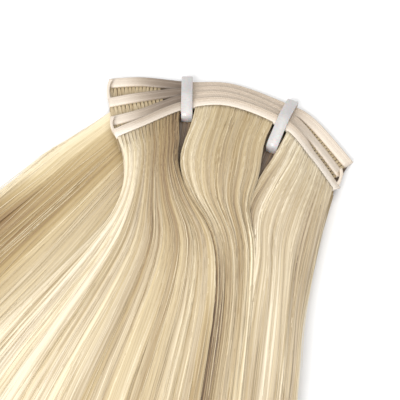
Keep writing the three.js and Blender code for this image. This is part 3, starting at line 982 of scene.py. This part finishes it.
def fan_tone(u, along):
    """Tones of the fan, with painted shade where the partings of the locks look down on it."""
    # Painted shade in the gaps below the ties, where the partings look down on the fan
    hidden = ease(1.1, 1.4, u) * (1 - ease(3, 3.6, u)) * (1 - ease(30, 60, along))
    return table_of(FAN_TONES, u, along) - 0.44 * hidden


FAN_COUNT, FAN_SEED, FAN_COLUMNS = 1700, 21, 400
FAN_WARMTHS = (0.55, 1.1, 1.1, 1.1, 0.55, 0.7)
draw = np.random.default_rng(FAN_SEED)
fan_surface = wisp_relief(FAN_SEED, fan_place, contrast=0.4)
# Four in five strands belong to the part that shows
shown = np.arange(FAN_COUNT) < 0.8 * FAN_COUNT
u = np.sort(np.where(shown, 1.25 * draw.random(FAN_COUNT), 1.2 + 2.8 * draw.random(FAN_COUNT)))
comb("hair_fan", fan_surface, u, draw, fan_tone, FAN_WARMTHS, calm=0.5)
lay = body_below(fan_surface, fan_tone, FAN_WARMTHS, 0.02, 3.98)
hair_body("hair_fan_body", FAN_COLUMNS, BODY_STEPS, lay, "hair_fan")

# %% [markdown]
# ## Loose hairs
# No combed hair lies quite flat: single fine hairs stray over their neighbours and past the edges.
# They start somewhere down the hair, rise a little and wander sideways as they go.

# %% Loose hairs
# Hair to stray from, how many, the first and last share across it, how far they wander in mm, and tone;
# the hairs at the fan's edge are paler, a painted highlight along its fuzzy edge
STRAYS = [
    ("hair_left", 70, 0.0, 1.0, 2.0, 0.72),
    ("hair_middle", 40, 0.0, 1.0, 1.6, 0.72),
    ("hair_right", 40, 0.2, 1.0, 2.0, 0.72),
    ("hair_right", 40, 0.97, 1.0, 2.5, 0.8),
    ("hair_fan", 90, 0.0, 0.05, 3.5, 0.97),
    ("hair_fan", 60, 0.0, 1.0, 3.0, 0.72),
]
STRAY_SEED, STRAY_POINTS, STRAY_WIDTH, STRAY_WARMTH = 41, 14, 0.2, 0.6
draw = np.random.default_rng(STRAY_SEED)
surfaces = {name: wisp_relief(LOCK_HAIR[name][1], partial(lock_place, LOCKS[name])) for name in LOCKS}
surfaces["hair_fan"] = fan_surface
step = np.linspace(0, 1, STRAY_POINTS)
stray_lines, stray_tones = [], []
for name, count, first, last, wander, shade in STRAYS:
    u = (first + (last - first) * draw.random(count))[:, None]
    start = 8 + 110 * draw.random(count)[:, None]
    length = 25 + 70 * draw.random(count)[:, None]
    along = start + length * step
    far = step ** 1.5 * draw.choice([-1, 1], count)[:, None] * draw.random(count)[:, None]
    across = np.broadcast_to(u, along.shape)
    plan, _, top, _, _ = surfaces[name](across, along)
    aside = surfaces[name](across + 0.01, along)[0] - plan
    aside /= np.linalg.norm(aside, axis=2, keepdims=True)
    plan = plan + aside * (far * wander)[..., None]
    rise = 0.3 + 0.9 * draw.random(count)[:, None] * np.sin(np.pi * step)
    stray_lines.append(np.concatenate([plan, (top + rise)[..., None]], axis=2))
    stray_tones.append(shade + 0.1 * draw.standard_normal((count, 1)) + 0 * step)
lines, tone = np.concatenate(stray_lines), np.concatenate(stray_tones)
widths = np.broadcast_to(STRAY_WIDTH * np.sin(np.linspace(0.25, np.pi - 0.15, STRAY_POINTS)), tone.shape)
strand_piece("loose_hairs", lines, widths, tone, STRAY_WARMTH, *surfaces)

# %% [markdown]
# ## Tufts between the passes
# Where the passes spread apart, the roots of the lower hair show as a row of small even ribs with dark
# gaps. Each rib is a tuft of five short strands that leave the rim and dip below the next pass.

# %% Tufts of the lower passes
TUFT_SEED, TUFT_STRANDS, TUFT_POINTS, TUFT_LENGTH = 31, 5, 7, 13
# Half the width of a tuft at the rim, the width of its strands, their tone and their warmth
TUFT_HALF, TUFT_WIDTH, TUFT_TONE, TUFT_WARMTH = 0.42, 0.34, 0.62, 0.45
draw = np.random.default_rng(TUFT_SEED)
# The passes spread apart before the first and after the second of these shares of their length
SPREAD = (0.2, 0.74)
tuft_lines, tuft_tones = [], []
for number in range(TOP_PASS):
    z, (_, _, _, run) = PASSES[number][0], pass_lines[number]
    tufts = int(run / TUFT_PITCH)
    middles = (np.arange(tufts) + 0.5) / tufts
    middles = middles[(middles < SPREAD[0]) | (middles > SPREAD[1])]
    share = np.repeat(middles, TUFT_STRANDS)
    fan_out = np.tile(np.linspace(-TUFT_HALF, TUFT_HALF, TUFT_STRANDS), len(middles))
    ahead = np.linspace(0, TUFT_LENGTH, TUFT_POINTS)
    wide = fan_out[:, None] * (1 + 0.12 * ahead) + 0.05 * draw.standard_normal((len(share), 1)) * ahead / 3
    plan = np.stack([on_pass(number, share + w / run, RIM_EDGE + 0.6 - a)
                     for a, w in zip(ahead, wide.T)], axis=1)
    drop = z + 0.15 - 0.0085 * ahead ** 2 + 0.2 * (TUFT_HALF - np.abs(fan_out))[:, None]
    tuft_lines.append(np.concatenate([plan, drop[..., None]], axis=2))
    # Each tuft darkens as it dips below the next pass: painted shade
    tuft_tones.append(TUFT_TONE + OWN_TONE * draw.standard_normal((len(share), 1)) - 0.012 * ahead)
lines, tone = np.concatenate(tuft_lines), np.concatenate(tuft_tones)
strand_piece("root_tufts", lines, np.full(tone.shape, TUFT_WIDTH), tone, TUFT_WARMTH, "hair_fan")

# %% [markdown]
# ## Roots below the band
# Between the ribs one looks down into hair roots in shade. A low closed body below the passes, nearly
# black as painted shade, gives that dark ground, so that no table shows through the band.


# %% Roots below the band
def under_band(u, far):
    """Between the rearmost pass and just before the topmost one: plan, foot, top, tone and warmth."""
    share = 0.005 + 0.99 * u
    a, b = on_pass(0, share), on_pass(TOP_PASS, share, -4)
    plan = a + (b - a) * far[:, None]
    # The roots' near-black tone is painted shade
    foot, tone, warm = (np.full(len(u), value) for value in (0.2, 0.05, 0.5))
    return plan, foot, 1.2 + 4 * far, tone, warm


hair_body("roots_below_band", 40, 6, under_band, "hair_fan")

# %% [markdown]
# ## Table and light
# The weft lies on a plain white surface under broad soft light, brighter from the front where the
# hair's tips are.

# %% Table and light
# Half the table's width, in m
TABLE_HALF = 3
bm = bmesh.new()
bmesh.ops.create_grid(bm, x_segments=1, y_segments=1, size=TABLE_HALF)
table_mesh = to_mesh(bm, "table")
_, shader, white = new_finish("white_table")
shader.inputs["Base Color"].default_value = (0.93, 0.93, 0.93, 1)
shader.inputs["Roughness"].default_value = 0.6
table_mesh.materials.append(white)
table = bpy.data.objects.new("table", table_mesh)
bpy.context.scene.collection.objects.link(table)


def soft_light(name, place, target, size, power):
    data = bpy.data.lights.new(name, "AREA")
    data.shape = "DISK"
    data.size = size
    data.energy = power
    lamp = bpy.data.objects.new(name, data)
    lamp.location = place
    lamp.rotation_euler = (Vector(target) - Vector(place)).to_track_quat("-Z", "Y").to_euler()
    bpy.context.scene.collection.objects.link(lamp)
    print(name, "light:", power, "W over a disk of", size, "m")


soft_light("front_left", (-0.45, -0.75, 0.75), (-0.03, -0.05, 0), 0.7, 11)
soft_light("overhead", (0.2, 0.1, 1.1), (0, -0.05, 0), 0.9, 5)
world = bpy.data.worlds.new("studio")
world.use_nodes = True
sky = world.node_tree.nodes["Background"]
sky.inputs["Color"].default_value = (1, 1, 1, 1)
sky.inputs["Strength"].default_value = 0.55
bpy.context.scene.world = world
bpy.context.scene.view_settings.view_transform = "Standard"
